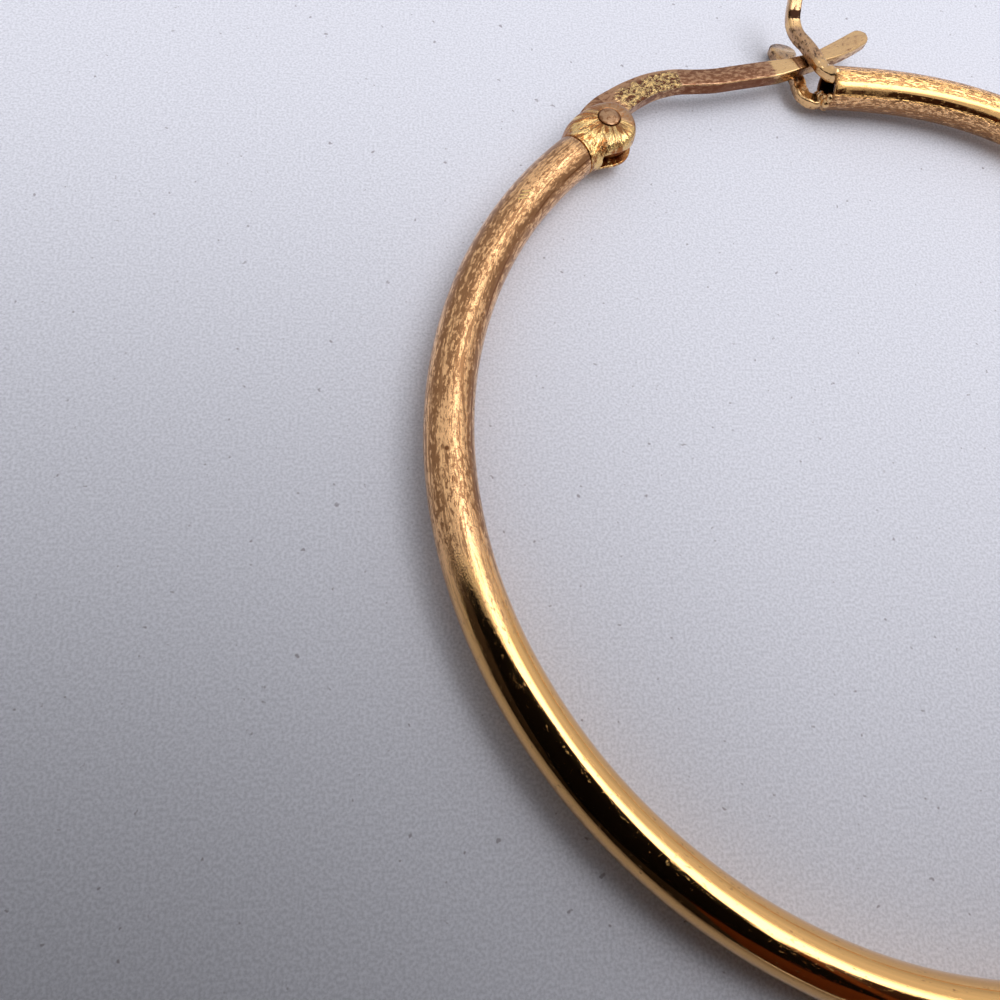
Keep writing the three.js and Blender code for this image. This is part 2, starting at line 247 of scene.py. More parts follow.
def ripple(piece, height, size, seed, where=None):
    """Moves each point along its normal by soft noise: height and size in millimetres."""
    points = points_of(piece)
    normals = normals_of(piece)
    offset = Vector((seed * 13.7, seed * 5.1, seed * 7.3))
    swell = np.array([noise.noise(Vector(p) / size + offset) for p in points])
    if where is not None:
        swell = swell * where
    moved = points + normals * (height * swell)[:, None]
    piece.data.vertices.foreach_set("co", moved.ravel())
    piece.data.update()


# %% [markdown]
# ## The tube
# The real tube is drawn brass with a thin wall, bent on a former. A curve with a round bevel would
# give the outside in one line, but not the wall or the open mouth, and it could not carry the skin
# mark. So the tube is a loft that goes out along its outside and back along its inside. A very
# slight waviness keeps the long reflections from looking drawn with a ruler.

# %% Tube
TUBE_SIDES = 64
TUBE_RINGS = 380
LIP = 0.05
# A ripple is its height in mm, its size in mm and its seed.
TUBE_RIPPLE = (0.006, 2.6, 1)


def tube_ring(angle, radius):
    """A ring of points round the tube, and their skin: along, outwards and up."""
    point, out, _ = hoop_place(angle)
    turns = np.linspace(0, 2 * math.pi, TUBE_SIDES, endpoint=False)
    across = np.cos(turns)[:, None]
    level = np.sin(turns)[:, None]
    ring = point + radius * (across * out + level * UP)
    run = np.full_like(across, HOOP_RADIUS * (angle - HINGE_END))
    return ring, np.hstack((run, radius * across, radius * level))


def make_tube():
    lip = LIP / HOOP_RADIUS
    angles = np.linspace(HINGE_END, CATCH_END, TUBE_RINGS)
    angles[1], angles[-2] = HINGE_END + lip, CATCH_END - lip
    rows = [(angle, TUBE_RADIUS) for angle in angles]
    rows += [(angle, TUBE_RADIUS - TUBE_WALL) for angle in angles[::-1]]
    rows[0] = (HINGE_END, TUBE_RADIUS - LIP / 2)
    rows[TUBE_RINGS - 1] = (CATCH_END, TUBE_RADIUS - LIP / 2)
    made = [tube_ring(angle, radius) for angle, radius in rows]
    points = np.array([ring for ring, _ in made])
    skin = np.array([mark for _, mark in made]).reshape(-1, 3)
    tube = make_piece("hoop_tube", points, loft_faces(len(made), TUBE_SIDES, True), skin)
    outside = np.repeat(np.arange(len(made)) < TUBE_RINGS, TUBE_SIDES)
    ripple(tube, *TUBE_RIPPLE, outside)
    return tube


tube = make_tube()
print("tube length, mm:", round(TUBE_LENGTH, 1))

# %% [markdown]
# ## Bars with rounded edges
# The catch's arms and the ear wire are flat bars that bend and change width on their way. Their
# section is a rectangle with rounded corners, because a real edge always catches a thin line of
# light. The far end is rounded off in a half circle.

# %% Bars


def bar_ring(centre, across, up, width, thickness, edge):
    """A rectangle with rounded corners round a centre."""
    points = []
    for side, level, start in ((1, 1, 0), (-1, 1, 90), (-1, -1, 180), (1, -1, 270)):
        for turn in np.radians(start + np.linspace(0, 90, 6)):
            points.append(
                centre
                + across * (side * (width / 2 - edge) + edge * math.cos(turn))
                + up * (level * (thickness / 2 - edge) + edge * math.sin(turn))
            )
    return points


def bar_sections(rows, steps, edge):
    """Centre, direction, width, thickness and distance run of each ring, with a rounded far end."""
    fine = smooth_rows(rows, steps)
    centres = fine[:, :3]
    tangents = np.gradient(centres, axis=0)
    strides = np.linalg.norm(np.diff(centres, axis=0), axis=1)
    travel = np.concatenate(([0], np.cumsum(strides)))
    sections = []
    for centre, tangent, (width, thickness), run in zip(centres, tangents, fine[:, 3:], travel):
        sections.append((centre, tangent / np.linalg.norm(tangent), width, thickness, run))
    centre, along, width, thickness, run = sections[-1]
    for turn in np.radians(np.linspace(8, 86, 12)):
        forward = width / 2 * math.sin(turn)
        narrow = max(width * math.cos(turn), 2 * edge)
        sections.append((centre + along * forward, along, narrow, thickness, run + forward))
    return sections


def make_bar(name, rows, steps, edge):
    """A bar through rows of (x, y, z, width, thickness)."""
    rings, skin = [], []
    for centre, along, width, thickness, run in bar_sections(rows, steps, edge):
        across = np.cross(UP, along)
        across /= np.linalg.norm(across)
        up = np.cross(along, across)
        rings.append(bar_ring(centre, across, up, width, thickness, edge))
        flat = bar_ring(np.zeros(3), np.array((0, 1.0, 0)), UP, width, thickness, edge)
        skin.append(np.array(flat) + (run, 0, 0))
    faces = loft_faces(len(rings), len(rings[0]), False)
    return make_piece(name, rings, faces, np.array(skin).reshape(-1, 3))


# %% [markdown]
# ## The catch
# The catch is a strip of metal folded round the tube's mouth, so that two arms stand apart and the
# ear wire drops between them. It is held by solder that ran and froze in lumps. Melted metal has no
# edges that a modeller would place by hand, so the arms and some rough lumps are joined and
# remeshed into one skin, softened, and rippled where the solder is.

# %% Catch
ARM_WIDTH = 0.7
ARM_THICKNESS = 0.5
ARM_EDGE = 0.12
ARM_REACH = 5.0
ARM_LEAN = 1.35
ARM_FLARE = 0.62
ARM_TIP_WIDTH = 1.42
CATCH_CLEARANCE = 0.05
WIRE_THICKNESS = 0.62
ARM_LEVEL = (WIRE_THICKNESS + ARM_THICKNESS) / 2 + CATCH_CLEARANCE
# Columns: share of ARM_REACH outwards, share of ARM_LEAN off the mouth, share of ARM_FLARE off the
# hoop's plane, share of the way from ARM_WIDTH to ARM_TIP_WIDTH.
UPPER_ARM = (
    (0.01, -0.2, 0, 0), (0.1, 0.24, 0, 0), (0.2, 0.38, 0, 0),
    (0.306, 0.51, 0, 0), (0.425, 0.66, 0, 0), (0.543, 0.88, 0, 0),
    (0.655, 0.97, 0.05, 0), (0.766, 0.98, 0.24, 0), (0.875, 0.91, 0.58, 0),
    (0.94, 0.87, 0.9, 0), (0.99, 0.84, 1.15, 0.3),
)
LOWER_ARM = (
    (-0.03, -0.2, 0, 0), (-0.052, 0.25, 0, 0), (-0.04, 0.54, 0, 0),
    (0.02, 0.73, 0, 0), (0.128, 0.78, 0, 0), (0.233, 0.78, 0, 0),
    (0.371, 0.93, 0, 0), (0.52, 1.0, 0.12, 0.45), (0.61, 0.97, 0.28, 0.95),
    (0.675, 0.93, 0.46, 1.0),
)
# Columns: shares of TUBE_RADIUS outwards, off the mouth and up, then the lump's radius in mm.
SOLDER = (
    (0.3, 0.1, 0.66, 0.34), (-0.15, 0.05, -0.62, 0.4), (-0.4, -0.15, -0.66, 0.3),
    (0.1, -0.1, 0.78, 0.28), (0.95, 0.0, 0.42, 0.2), (-0.7, 0.03, -0.3, 0.26),
    (-0.76, 0.0, 0.08, 0.2), (-0.4, 0.05, -0.3, 0.28), (-0.1, 0.05, -0.42, 0.26),
    (0.3, 0.05, -0.72, 0.24),
)
CATCH_VOXEL = 0.035
CATCH_SOFTENING = 8
# The solder's middle off the mouth, how far it reaches from there and how softly it ends, in mm.
SOLDER_MIDDLE = 0.2
SOLDER_REACH = 1.75
SOLDER_FADE = 0.5
SOLDER_RIPPLES = ((0.06, 0.5, 2), (0.02, 0.2, 6))
CATCH_RIPPLE = (0.014, 0.5, 3)


def make_arm(table, side):
    """One arm: side is 1 over the hoop's plane and -1 under it."""
    rows = []
    for out, lean_off, flare, broad in table:
        place = (
            mouth
            + mouth_out * out * ARM_REACH
            + mouth_travel * lean_off * ARM_LEAN
            + UP * side * (ARM_LEVEL + flare * ARM_FLARE)
        )
        width = ARM_WIDTH + broad * (ARM_TIP_WIDTH - ARM_WIDTH)
        rows.append((*place, width, ARM_THICKNESS))
    return make_bar("arm", rows, 8, ARM_EDGE)


def object_from(shape, name):
    """An object made of an edit mesh, which is then freed."""
    mesh = bpy.data.meshes.new(name)
    shape.to_mesh(mesh)
    shape.free()
    return new_object(name, mesh)


def make_lump(out, off, level, radius):
    place = mouth + TUBE_RADIUS * (out * mouth_out + off * mouth_travel + level * UP)
    ball = bmesh.new()
    matrix = Matrix.Translation(place)
    bmesh.ops.create_icosphere(ball, subdivisions=3, radius=radius, matrix=matrix)
    return object_from(ball, "lump")


def join_loose(pieces, name):
    """Puts several closed meshes into one object without cutting them."""
    joined = bmesh.new()
    for piece in pieces:
        joined.from_mesh(piece.data)
        bpy.data.objects.remove(piece)
    return object_from(joined, name)


def make_catch():
    parts = [make_arm(UPPER_ARM, 1), make_arm(LOWER_ARM, -1)]
    parts += [make_lump(*row) for row in SOLDER]
    catch = melt(join_loose(parts, "catch"), CATCH_VOXEL, CATCH_SOFTENING)
    middle = mouth + SOLDER_MIDDLE * mouth_travel
    near = np.linalg.norm(points_of(catch) - middle, axis=1)
    solder = np.clip((SOLDER_REACH - near) / SOLDER_FADE, 0, 1)
    for rough in SOLDER_RIPPLES:
        ripple(catch, *rough, solder)
    ripple(catch, *CATCH_RIPPLE)
    directions = np.array((mouth_out, mouth_travel, UP))
    mark_skin(catch.data, (points_of(catch) - mouth) @ directions.T)
    return catch


catch = make_catch()
print("catch faces after melting:", len(catch.data.polygons))

# %% [markdown]
# ## The knuckle
# The knuckle is a cast cap. Its round neck fills the tube's end and swells into a flat-sided head
# that is slotted for the ear wire's eye. It is lofted through a few squared circles, then slotted
# and drilled with booleans. A last remesh rounds the edges as wear and polishing do.

# %% Knuckle outline
SEAM_GAP = 0.05
HEAD_RADIUS = 1.375
HEAD_SETBACK = 0.2
HEAD_INSET = 0.16
HEAD_ROUNDING = 0.16
KNUCKLE_ABOVE = 1.0
KNUCKLE_BELOW = 0.78
KNUCKLE_SIDES = 64
# Columns: share of the way to the head's centre, share of the way from the tube's radius to the
# head's, share of HEAD_INSET, squareness (2 is round).
KNUCKLE_NECK = (
    (0, 0, 0, 2),
    (0.14, 0.2, -0.3, 2.05),
    (0.36, 0.58, -0.5, 2.5),
    (0.6, 0.86, 0, 3.4),
    (0.8, 0.97, 0.6, 4.4),
    (1, 1, 1, 5),
)


def squared_ring(along, inset, half_width, above, below, power):
    turns = np.linspace(0, 2 * math.pi, KNUCKLE_SIDES, endpoint=False)
    across = np.sign(np.cos(turns)) * np.abs(np.cos(turns)) ** (2 / power)
    level = np.sign(np.sin(turns)) * np.abs(np.sin(turns)) ** (2 / power)
    height = np.where(level > 0, above, below) * level
    place = np.full(KNUCKLE_SIDES, along)
    return np.stack((place, half_width * across - inset, height), axis=1)


def knuckle_rings():
    """The neck's rings from the tube's end on, then the rings of the half-round head."""
    centre = RIVET_REACH - HEAD_SETBACK
    rings = []
    for share, wide, shift, power in smooth_rows(KNUCKLE_NECK, 5):
        wide = min(max(wide, 0), 1)
        rings.append(squared_ring(
            SEAM_GAP + share * (centre - SEAM_GAP),
            shift * HEAD_INSET,
            TUBE_RADIUS + wide * (HEAD_RADIUS - TUBE_RADIUS),
            TUBE_RADIUS + wide * (KNUCKLE_ABOVE - TUBE_RADIUS),
            TUBE_RADIUS + wide * (KNUCKLE_BELOW - TUBE_RADIUS),
            power,
        ))
    for turn in np.radians(np.linspace(6, 86, 18)):
        fall = 1 - HEAD_ROUNDING * math.sin(turn) ** 8
        rings.append(squared_ring(
            centre + HEAD_RADIUS * math.sin(turn),
            HEAD_INSET,
            HEAD_RADIUS * math.cos(turn),
            KNUCKLE_ABOVE * fall,
            KNUCKLE_BELOW * fall,
            KNUCKLE_NECK[-1][3],
        ))
    return np.array(rings)


print("rings of the knuckle:", len(knuckle_rings()))

# %% [markdown]
# ## The knuckle's plug, slot and bores
# The plug, the bore and the recesses for the rivet's heads are turned from short profiles, like
# work on a lathe. Each cutter reaches well past the metal that it cuts, so that none of its end
# faces lies on a face of the knuckle.

# %% Knuckle
PLUG_LENGTH = 1.1
PLUG_CLEARANCE = 0.06
EYE_RADIUS = 1.22
EYE_END_GAP = 0.23
SLOT_CLEARANCE = 0.05
RIVET_RADIUS = 0.3
RIVET_HEAD_RADIUS = 0.5
RIVET_CLEARANCE = 0.03
RIVET_HEAD_SINK = 0.1
KNUCKLE_VOXEL = 0.035
KNUCKLE_SOFTENING = 3
KNUCKLE_RIPPLE = (0.02, 0.8, 4)


def turned_piece(name, profile, sides=64):
    """A turned solid about the upright axis from (radius, height) rows, capped at both ends."""
    turns = np.linspace(0, 2 * math.pi, sides, endpoint=False)
    rings = []
    for radius, height in profile:
        level = np.full(sides, height)
        rings.append(np.stack((radius * np.cos(turns), radius * np.sin(turns), level), axis=1))
    return make_piece(name, np.array(rings), loft_faces(len(rings), sides, False))


def knuckle_tools():
    """The slot, the rivet's hole and its two recesses, as closed cutters."""
    start = RIVET_REACH - EYE_RADIUS - EYE_END_GAP
    half = WIRE_THICKNESS / 2 + SLOT_CLEARANCE
    far = RIVET_REACH + 3 * HEAD_RADIUS
    sides = [(far, -far), (far, far), (start, far), (start, -far)]
    corners = [[(x, y, level) for x, y in sides] for level in (-half, half)]
    slot = make_piece("slot", corners, loft_faces(2, 4, False))
    past = KNUCKLE_ABOVE + KNUCKLE_BELOW
    hole = RIVET_RADIUS + RIVET_CLEARANCE
    recess = RIVET_HEAD_RADIUS + RIVET_CLEARANCE
    bores = [
        turned_piece("bore", ((hole, -past), (hole, past))),
        turned_piece("recess", ((recess, KNUCKLE_ABOVE - RIVET_HEAD_SINK), (recess, past))),
        turned_piece("recess", ((recess, -past), (recess, RIVET_HEAD_SINK - KNUCKLE_BELOW))),
    ]
    for bore in bores:
        bore.data.transform(Matrix.Translation((RIVET_REACH, 0, 0)))
    return [slot, *bores]


def make_knuckle():
    rings = knuckle_rings()
    body = make_piece("hinge_fork", rings, loft_faces(len(rings), KNUCKLE_SIDES, False))
    radius = TUBE_RADIUS - TUBE_WALL - PLUG_CLEARANCE
    plug = turned_piece("plug", ((radius, -PLUG_LENGTH), (radius, 2 * SEAM_GAP)))
    plug.data.transform(Matrix.Rotation(math.pi / 2, 4, "Y"))
    cut_or_join(body, [plug], "UNION")
    cut_or_join(body, knuckle_tools(), "DIFFERENCE")
    melt(body, KNUCKLE_VOXEL, KNUCKLE_SOFTENING)
    ripple(body, *KNUCKLE_RIPPLE)
    mark_skin(body.data, points_of(body) - (RIVET_REACH, 0, 0))
    turn = Matrix((hinge_along, np.cross(UP, hinge_along), UP)).transposed().to_4x4()
    body.data.transform(Matrix.Translation(hinge_point) @ turn)
    return body


knuckle = make_knuckle()
print("knuckle faces after melting:", len(knuckle.data.polygons))

# %% [markdown]
# ## The rivet
# The rivet is a short pin whose two ends were peened over into low domes. A turned profile makes
# it, and a slow ripple gives the hammered, not quite round, look of a peened head.

# %% Rivet
RIVET_HEAD_RISE = 0.07
RIVET_EDGE = 0.02
DOME_FULLNESS = 0.7
RIVET_RIPPLE = (0.03, 0.35, 5)


def head_profile(face):
    """(radius, height) rows of a low dome that sits in a cheek's recess."""
    seat = face - RIVET_HEAD_SINK + RIVET_CLEARANCE
    crown = face + RIVET_HEAD_RISE
    rim = seat + 0.5 * (crown - seat)
    rows = [
        (RIVET_RADIUS, seat),
        (RIVET_HEAD_RADIUS - RIVET_EDGE, seat),
        (RIVET_HEAD_RADIUS, seat + RIVET_EDGE),
    ]
    for turn in np.radians(np.linspace(0, 88, 14)):
        radius = RIVET_HEAD_RADIUS * math.cos(turn) ** DOME_FULLNESS
        rows.append((radius, rim + (crown - rim) * math.sin(turn)))
    return rows


def make_rivet():
    lower = [(radius, -height) for radius, height in reversed(head_profile(KNUCKLE_BELOW))]
    rivet = turned_piece("rivet", lower + head_profile(KNUCKLE_ABOVE))
    ripple(rivet, *RIVET_RIPPLE, (points_of(rivet)[:, 2] > KNUCKLE_ABOVE).astype(float))
    mark_skin(rivet.data, points_of(rivet))
    rivet.data.transform(Matrix.Translation(rivet_flat))
    return rivet


rivet = make_rivet()
print("rivet faces:", len(rivet.data.polygons))

# %% [markdown]
# ## The ear wire
# The ear wire is rolled flat, tapers from its broad heel at the hinge to a waist between the catch's
# arms, and ends in a rounded thumb tip. It is a loft again, with crisp rolled edges, so it isn't
# remeshed. The eye that turns on the rivet is a disc that is joined to it and drilled.

# %% Ear wire
WIRE_WIDTH = 1.06
WIRE_EDGE = 0.09
WIRE_OVER_TUBE = 0.09
PADDLE_LENGTH = 4.3
PADDLE_WIDTH = 1.0
PADDLE_THICKNESS = 0.5
EYE_CLEARANCE = 0.06
# Columns: shares of the span from the rivet to the catch, along it and off it, share of WIRE_WIDTH.
WIRE_ROUTE = (
    (-0.05, 0.045, 1.1), (-0.012, 0.062, 1.4), (0.055, 0.088, 1.51),
    (0.122, 0.107, 1.42), (0.2, 0.125, 1.3), (0.3, 0.134, 1.18),
    (0.4, 0.122, 1.08), (0.48, 0.0945, 1.0), (0.56, 0.068, 1.0),
    (0.65, 0.05, 1.0), (0.74, 0.032, 1.0), (0.83, 0.014, 1.0),
    (0.9, 0.005, 0.88), (0.95, 0.001, 0.8), (1.0, 0.0, 0.73),
)
# Columns: shares of PADDLE_LENGTH along and off, share of PADDLE_WIDTH, share of the way to
# PADDLE_THICKNESS.
PADDLE_ROUTE = (
    (0.21, 0.0, 0.8, 0.1),
    (0.4, 0.012, 0.93, 0.5),
    (0.64, 0.042, 1.0, 1.0),
    (0.865, 0.08, 0.98, 1.0),
)


def wire_rows():
    """Rows for the bar, from the heel over the catch's crossing to the thumb tip."""
    lift = TUBE_RADIUS + WIRE_OVER_TUBE + WIRE_WIDTH / 2
    crossing = mouth + mouth_out * lift + mouth_travel * ARM_LEAN / 2
    span = crossing - rivet_flat
    reach = np.linalg.norm(span)
    along = span / reach
    off = np.array((-along[1], along[0], 0))
    rows = []
    for share, side, broad in WIRE_ROUTE:
        place = rivet_flat + reach * (share * along + side * off)
        rows.append((*place, broad * WIRE_WIDTH, WIRE_THICKNESS))
    for share, side, broad, thin in PADDLE_ROUTE:
        place = crossing + PADDLE_LENGTH * (share * along + side * off)
        thickness = WIRE_THICKNESS + thin * (PADDLE_THICKNESS - WIRE_THICKNESS)
        rows.append((*place, broad * PADDLE_WIDTH, thickness))
    return rows


def make_ear_wire():
    wire = make_bar("ear_wire_bar", wire_rows(), 14, WIRE_EDGE)
    half = WIRE_THICKNESS / 2
    rim = EYE_RADIUS - WIRE_EDGE
    level = half - WIRE_EDGE
    profile = ((rim, -half), (EYE_RADIUS, -level), (EYE_RADIUS, level), (rim, half))
    eye = turned_piece("eye", profile)
    hole = RIVET_RADIUS + EYE_CLEARANCE
    drill = turned_piece("drill", ((hole, -2 * half), (hole, 2 * half)))
    for tool in (eye, drill):
        tool.data.transform(Matrix.Translation(rivet_flat))
    cut_or_join(wire, [eye], "UNION")
    cut_or_join(wire, [drill], "DIFFERENCE")
    return wire


ear_wire = make_ear_wire()
print("ear wire faces:", len(ear_wire.data.polygons))

# %% [markdown]
# ## A short language for materials
# A material is a tree of small sums, and spelling out each node would bury the idea. These helpers
# each add one node, or a few, to the tree of what they are given, and hand back its result. A finish
# then reads like a sentence: a product where two things must both be true, the larger of two where
# either will do.

# %% Node helpers


def feed(socket, value):
    """Links a node's result to the socket, or sets the socket to a plain value."""
    if isinstance(value, bpy.types.NodeSocket):
        socket.id_data.links.new(value, socket)
    else:
        socket.default_value = value


def add(tree, kind, sockets=None, **settings):
    """A node with its settings, and its sockets fed."""
    made = tree.nodes.new(kind)
    for name, value in settings.items():
        setattr(made, name, value)
    for name, value in (sockets or {}).items():
        feed(made.inputs[name], value)
    return made


def math_node(operation, first, second=0.0, clamp=False):
    tree = (first if isinstance(first, bpy.types.NodeSocket) else second).id_data
    sockets = {0: first, 1: second}
    return add(tree, "ShaderNodeMath", sockets, operation=operation, use_clamp=clamp).outputs[0]


def product(first, *others):
    for other in others:
        first = math_node("MULTIPLY", first, other)
    return first


def total(first, *others):
    for other in others:
        first = math_node("ADD", first, other)
    return first


def larger(first, *others):
    for other in others:
        first = math_node("MAXIMUM", first, other)
    return first


def inverse(value):
    return math_node("SUBTRACT", 1.0, value)


def swing(value, amount):
    """The value about its middle, times the amount."""
    return product(math_node("SUBTRACT", value, 0.5), amount)


def ramp(value, low, high):
    """0 below low, 1 above high, smooth between."""
    return add(
        value.id_data, "ShaderNodeMapRange", {"Value": value, "From Min": low, "From Max": high},
        interpolation_type="SMOOTHSTEP",
    ).outputs[0]


def band(value, middle, half, soft):
    """1 within half of the middle, falling to 0 over soft."""
    off = math_node("ABSOLUTE", math_node("SUBTRACT", value, middle))
    return inverse(ramp(off, half, half + soft))


def pattern(skin, scale, detail=3.0, rough=0.55, turn=0.0):
    """Noise on the skin mark. scale is cycles per millimetre along, across and up."""
    mapping = {"Vector": skin, "Scale": scale, "Rotation": (0, turn, 0)}
    placed = add(skin.id_data, "ShaderNodeMapping", mapping)
    return add(
        skin.id_data, "ShaderNodeTexNoise",
        {"Vector": placed.outputs[0], "Scale": 1.0, "Detail": detail, "Roughness": rough},
    ).outputs["Fac"]


def blend_colours(share, first, second):
    mix = add(share.id_data, "ShaderNodeMix", data_type="RGBA")
    for socket, value in zip((mix.inputs[0], mix.inputs[6], mix.inputs[7]), (share, first, second)):
        feed(socket, value)
    return mix.outputs[2]


def read_mark(tree, name, output="Fac"):
    return add(tree, "ShaderNodeAttribute", attribute_name=name).outputs[output]


def new_material(name):
    """A material, its node tree and its shader."""
    material = bpy.data.materials.new(name)
    material.use_nodes = True
    tree = material.node_tree
    return material, tree, tree.nodes["Principled BSDF"]


# %% [markdown]
# ## Gold and its tarnish
# Every piece is the same plated brass, but each has its own story: the tube is polished below and
# stained above, the knuckle is brushed, the wire is dull. So one function builds the node tree of a
# metal, and each finish passes its colours, stain and brushing. All patterns read the skin mark.

# %% Metal builder
RELIEF_MM = 0.01
COAT = 0.4
COAT_ROUGHNESS = 0.12
# Paler fresh metal for nicks, dents and brushed ridges, which also stands in for a highlight.
FRESH_METAL_AND_HIGHLIGHT = (1.0, 0.66, 0.26, 1)
STREAK_SHADE = 0.75
FLECK_STRENGTH = 0.85
# Patterns: scale, layers of detail, roughness and tilt. The last ones may be left out.
BROAD_CLOUDS = ((0.35, 0.9, 0.9), 3)
GRAIN = ((13, 18, 18), 2)
SCRATCHES = ((0.6, 2.5, 2.5), 1, 0.4, 0.7)
SCRATCH_WIDTH = 0.006
SCRATCH_DEPTH = 0.03


def split_skin(skin):
    return add(skin.id_data, "ShaderNodeSeparateXYZ", {"Vector": skin}).outputs


def metal_masks(skin, flecks, dark, clean):
    """Where the metal has its dull film and where it has brown spots. The spots also carry the painted
    shade and painted dark reflections of the pieces. Clean places have neither.
    """
    stain = read_mark(skin.id_data, "stain")
    grime_shade_and_reflection = read_mark(skin.id_data, "grime_shade_and_reflection")
    broad = pattern(skin, *BROAD_CLOUDS)
    fine = pattern(skin, flecks, 5, 0.7)
    dullness = total(stain, swing(broad, 0.9), swing(fine, 0.5))
    film = product(ramp(dullness, 0.3, 0.8), inverse(clean))
    reach = total(
        fine, swing(stain, 0.16), swing(broad, 0.25), product(grime_shade_and_reflection, 0.2),
    )
    flecked = product(ramp(reach, 0.54, 0.68), FLECK_STRENGTH)
    # Grime, painted shade and painted dark reflections, broken up by noise.
    darkening = ramp(total(grime_shade_and_reflection, swing(fine, 1.4)), 0.5, 0.9)
    spots = math_node("MAXIMUM", larger(flecked, darkening), dark, True)
    return film, product(spots, inverse(clean))


def no_marks(skin):
    nothing = product(split_skin(skin)[0], 0.0)
    return nothing, nothing, nothing


def make_metal(name, colours, roughness, brushing, flecks, relief, marks=no_marks):
    """Plated metal. colours and roughness are for clean metal, its dull film and its brown flecks; the
    flecks' colour is also that of the painted shade and painted dark reflections. brushing and flecks
    are pattern scales. relief is the height of brushing, grain and marks. marks gives (dark, clean,
    raised) masks of a piece's own; clean places take the paler fresh colour, partly a painted
    highlight."""
    material, tree, shader = new_material(name)
    skin = read_mark(tree, "skin", "Vector")
    dark, clean, raised = marks(skin)
    film, spots = metal_masks(skin, flecks, dark, clean)
    grain = pattern(skin, *GRAIN)
    streaks = pattern(skin, brushing, 3, 0.6)
    # A scratch runs where a stretched noise crosses its middle.
    scratches = band(pattern(skin, *SCRATCHES), 0.5, 0.0, SCRATCH_WIDTH)

    shade = tuple(STREAK_SHADE * c for c in colours[0][:3]) + (1,)
    tint = blend_colours(streaks, shade, colours[0])
    tint = blend_colours(film, tint, colours[1])
    # Clean places take the paler fresh colour, partly a painted highlight.
    tint = blend_colours(clean, tint, FRESH_METAL_AND_HIGHLIGHT)
    tint = blend_colours(spots, tint, colours[2])
    dull = total(
        product(film, roughness[1] - roughness[0]),
        product(spots, roughness[2] - roughness[1]),
        swing(streaks, 0.12),
        product(scratches, 0.1),
        roughness[0],
    )
    height = total(
        product(streaks, relief[0]),
        product(total(film, 0.05), grain, relief[1]),
        product(raised, relief[2]),
        product(spots, -0.3 * relief[1]),
        product(scratches, -SCRATCH_DEPTH),
    )
    bump = {"Strength": 1.0, "Distance": RELIEF_MM * MM, "Height": height}
    feed(shader.inputs["Base Color"], tint)
    feed(shader.inputs["Metallic"], 1.0)
    feed(shader.inputs["Roughness"], dull)
    feed(shader.inputs["Normal"], add(tree, "ShaderNodeBump", bump).outputs[0])
    feed(shader.inputs["Coat Weight"], product(inverse(spots), COAT))
    feed(shader.inputs["Coat Roughness"], COAT_ROUGHNESS)
    return material


# %% [markdown]
# ## Marks of the tube
# Wear isn't the same all over. The top of the hoop's left side is dulled by handling at the hinge,
# with a dark line along its inner side, three short bright nicks and one small brown spot. Close to
# the catch it has short file strokes. Places on the tube are a run, in millimetres from the hinge
# end, and a turn, the angle from the outer side over the top.

# %% Tube marks
# Columns: run in mm and turn in radians.
NICKS = ((4.0, 1.55), (4.22, 1.57), (4.44, 1.6))
NICK_ALONG = (-0.71, 0.7)
NICK_HALF = (0.17, 0.03)
NICK_SOFT = (0.08, 0.02)
NICK_HEIGHT = 1.5
SPOT_PLACE = (17.0, 1.4)
SPOT_RADIUS = 0.17
SPOT_STRENGTH = 1.6
# Bands round the tube: turn of the middle, half the width and the soft edge, in radians.
INNER_LINE = (2.55, 0.025, 0.07)
UPPER_LINE = (1.98, 0.0, 0.05)
UNFILED = (2.4, 0.25, 0.1)
# Runs in mm: where the dull side ends, where the upper line ends, and where the filing starts.
DULL_SIDE_FADE = (18, 27)
UPPER_LINE_FADE = (4, 7)
FILING_START = (100, 106)
LINE_SWAY = ((0.45, 0.3, 0.3), 2)
LINE_BREAKS = ((0.8, 3, 3), 3)
DRAWN_STAINS = ((0.5, 8, 8), 4, 0.65)
FILE_STROKES = ((3, 14, 14), 2, 0.5, 0.6)


def tube_nick(run, turn, place):
    across = math_node("SUBTRACT", run, place[0])
    around = math_node("SUBTRACT", turn, place[1])
    x, y = NICK_ALONG
    along = total(product(across, x), product(around, y))
    aside = total(product(across, y), product(around, -x))
    return product(
        band(along, 0.0, NICK_HALF[0], NICK_SOFT[0]),
        band(aside, 0.0, NICK_HALF[1], NICK_SOFT[1]),
    )


def tube_marks(skin):
    """Dark lines, stains, spot and cuts, then the bright nicks, then what is raised."""
    run, outwards, upwards = split_skin(skin)
    turn = math_node("ARCTAN2", upwards, outwards)
    wavy = total(turn, swing(pattern(skin, *LINE_SWAY), 0.22))
    broken = ramp(pattern(skin, *LINE_BREAKS), 0.32, 0.54)
    dull_side = inverse(ramp(run, *DULL_SIDE_FADE))
    upper_end = inverse(ramp(run, *UPPER_LINE_FADE))
    inner = product(band(wavy, *INNER_LINE), broken, dull_side)
    upper = product(band(wavy, *UPPER_LINE), broken, upper_end, 0.7)
    stains = ramp(pattern(skin, *DRAWN_STAINS), 0.51, 0.6)
    drawn = product(stains, dull_side, 0.8)
    spot = product(
        band(run, SPOT_PLACE[0], 0.0, SPOT_RADIUS),
        band(turn, SPOT_PLACE[1], 0.0, SPOT_RADIUS),
        SPOT_STRENGTH,
    )
    # The nicks take the paler fresh colour, partly a painted highlight.
    nicks = total(*(tube_nick(run, turn, place) for place in NICKS))
    files = ramp(pattern(skin, *FILE_STROKES), 0.35, 0.65)
    filed = product(
        ramp(run, *FILING_START), inverse(band(turn, *UNFILED)),
    )
    cuts = product(ramp(inverse(files), 0.5, 0.9), filed, 0.8)
    raised = total(product(nicks, NICK_HEIGHT), product(files, filed))
    return larger(inner, drawn, upper, spot, cuts), nicks, raised


